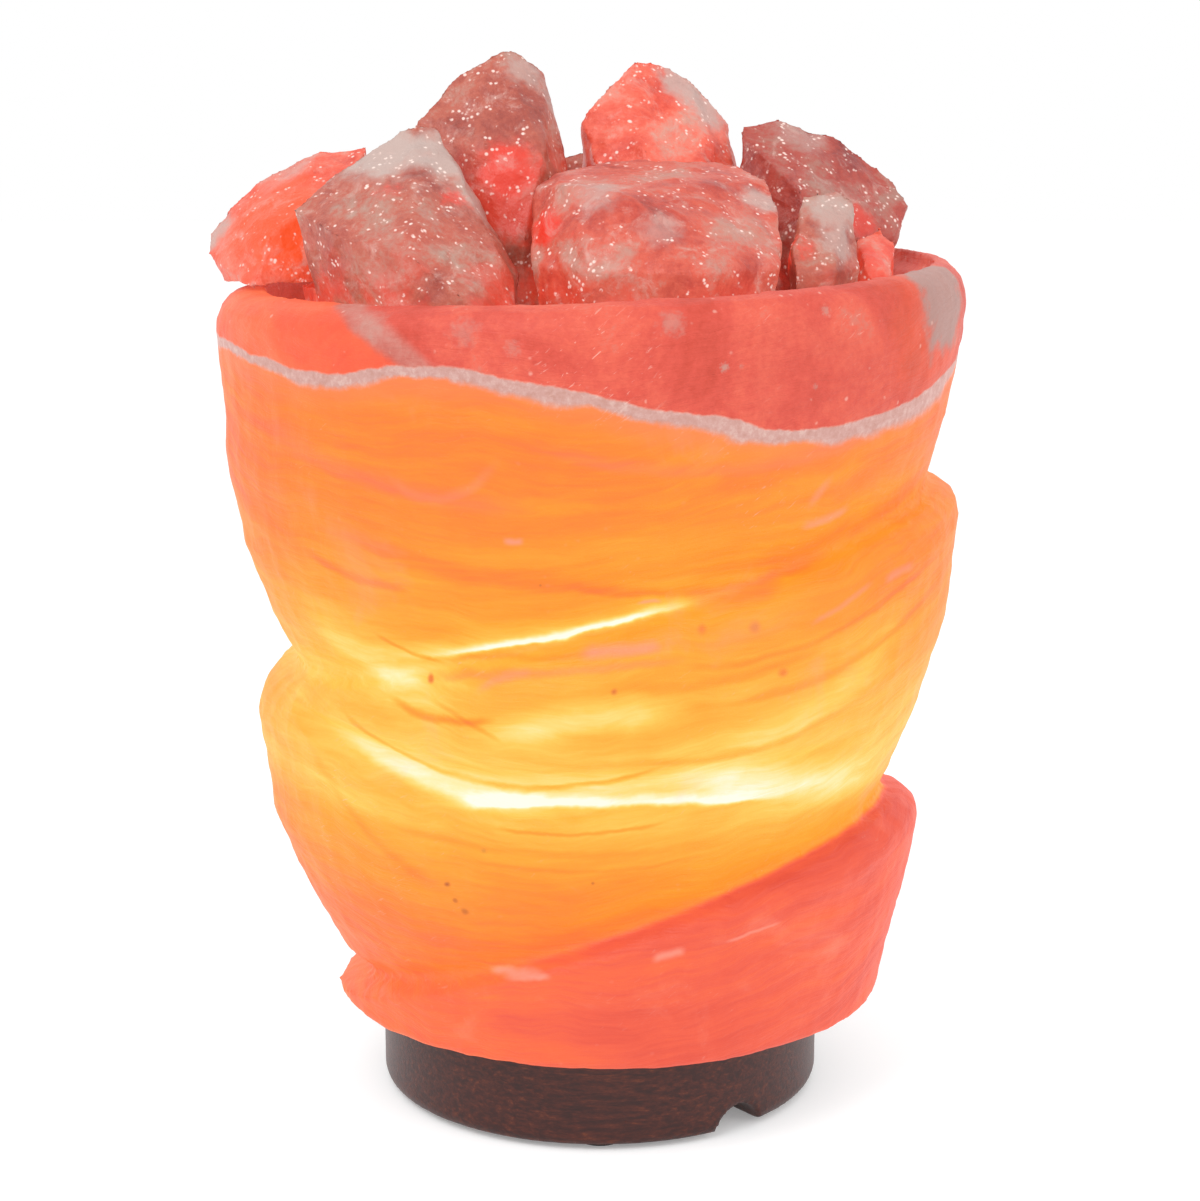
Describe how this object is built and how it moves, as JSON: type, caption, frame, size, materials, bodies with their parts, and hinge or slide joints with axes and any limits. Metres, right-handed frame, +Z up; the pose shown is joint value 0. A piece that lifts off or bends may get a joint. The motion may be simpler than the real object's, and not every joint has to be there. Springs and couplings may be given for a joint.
{
  "type": "salt crystal lamp",
  "caption": "Carved rock-salt bowl lamp with tilted stepped tiers, heaped loose salt chunks, a turned dark wood base and a small screw bulb in a spring-clip holder.",
  "frame": {"origin": "centre of the feet, on the surface that the lamp stands on", "axes": "+Z up through the bowl, -Y towards the viewer of the picture, +X to the viewer's right"},
  "size_m": [0.1709, 0.1664, 0.239],
  "materials": {
    "lit_salt": "rough carved rock salt, lit from inside",
    "chunk_salt": "broken rock salt, crystalline and rough",
    "warm_chunk_salt": "broken rock salt, glowing faintly",
    "dark_wood": "dark stained and lightly waxed",
    "foot_pad": "matt",
    "screw_steel": "zinc plated",
    "anchor_plastic": "moulded",
    "flange_steel": "pressed sheet",
    "spring_steel": "bright spring strip",
    "rivet_steel": "pressed",
    "holder_plastic": "moulded",
    "carrier_ceramic": "unglazed",
    "terminal_steel": "plated",
    "sleeve_brass": "pressed sheet",
    "contact_brass": "pressed sheet",
    "tip_solder": "dull solder",
    "insulator_glass": "fused black glass",
    "bulb_cap_metal": "pressed sheet",
    "bulb_glass": "clear",
    "stem_glass": "clear",
    "support_wire": "drawn wire",
    "lit_filament": "glowing"
  },
  "bodies": {
    "lamp": {"salt_bowl": "lit_salt", "wood_base": "dark_wood", "base_feet": "foot_pad", "base_screws": "screw_steel", "screw_anchors": "anchor_plastic"},
    "bulb_holder": {"holder_flange": "flange_steel", "holder_clips": "spring_steel", "clip_rivets": "rivet_steel", "holder_shell": "holder_plastic", "holder_cap": "holder_plastic", "contact_carrier": "carrier_ceramic", "terminal_screws": "terminal_steel", "screw_sleeve": "sleeve_brass", "centre_contact": "contact_brass", "side_contact": "contact_brass"},
    "bulb": {"bulb_glass": "bulb_glass", "bulb_screw_cap": "bulb_cap_metal", "bulb_tip_insulator": "insulator_glass", "bulb_tip_contact": "tip_solder", "bulb_stem": "stem_glass", "filament_supports": "support_wire", "filament": "lit_filament"},
    "chunk_01": {"salt_chunk_01": "warm_chunk_salt"},
    "chunk_02": {"salt_chunk_02": "chunk_salt"},
    "chunk_03": {"salt_chunk_03": "chunk_salt"},
    "chunk_04": {"salt_chunk_04": "chunk_salt"},
    "chunk_05": {"salt_chunk_05": "chunk_salt"},
    "chunk_06": {"salt_chunk_06": "chunk_salt"},
    "chunk_07": {"salt_chunk_07": "chunk_salt"},
    "chunk_08": {"salt_chunk_08": "chunk_salt"},
    "chunk_09": {"salt_chunk_09": "chunk_salt"},
    "chunk_10": {"salt_chunk_10": "chunk_salt"},
    "chunk_11": {"salt_chunk_11": "chunk_salt"},
    "chunk_12": {"salt_chunk_12": "chunk_salt"}
  },
  "joints": [
    {"name": "holder_pull", "type": "slide", "parent": "lamp", "child": "bulb_holder", "axis": [0, 0, -1], "range_m": [0, 0.11]},
    {"name": "bulb_unscrew", "type": "slide", "parent": "bulb_holder", "child": "bulb", "axis": [0, 0, 1], "range_m": [0, 0.024]},
    {"name": "chunk_01_lift", "type": "slide", "parent": "chunk_12", "child": "chunk_01", "axis": [0, 0, 1], "range_m": [0, 0.05]},
    {"name": "chunk_02_lift", "type": "slide", "parent": "lamp", "child": "chunk_02", "axis": [0, 0, 1], "range_m": [0, 0.07]},
    {"name": "chunk_03_lift", "type": "slide", "parent": "lamp", "child": "chunk_03", "axis": [0, 0, 1], "range_m": [0, 0.08]},
    {"name": "chunk_04_lift", "type": "slide", "parent": "lamp", "child": "chunk_04", "axis": [0, 0, 1], "range_m": [0, 0.08]},
    {"name": "chunk_05_lift", "type": "slide", "parent": "lamp", "child": "chunk_05", "axis": [0, 0, 1], "range_m": [0, 0.07]},
    {"name": "chunk_06_lift", "type": "slide", "parent": "lamp", "child": "chunk_06", "axis": [0, 0, 1], "range_m": [0, 0.06]},
    {"name": "chunk_07_lift", "type": "slide", "parent": "lamp", "child": "chunk_07", "axis": [0, 0, 1], "range_m": [0, 0.07]},
    {"name": "chunk_08_lift", "type": "slide", "parent": "lamp", "child": "chunk_08", "axis": [0, 0, 1], "range_m": [0, 0.05]},
    {"name": "chunk_09_lift", "type": "slide", "parent": "lamp", "child": "chunk_09", "axis": [0, 0, 1], "range_m": [0, 0.06]},
    {"name": "chunk_10_lift", "type": "slide", "parent": "lamp", "child": "chunk_10", "axis": [0, 0, 1], "range_m": [0, 0.06]},
    {"name": "chunk_11_lift", "type": "slide", "parent": "lamp", "child": "chunk_11", "axis": [0, 0, 1], "range_m": [0, 0.06]},
    {"name": "chunk_12_lift", "type": "slide", "parent": "lamp", "child": "chunk_12", "axis": [0, 0, 1], "range_m": [0, 0.035]}
  ]
}
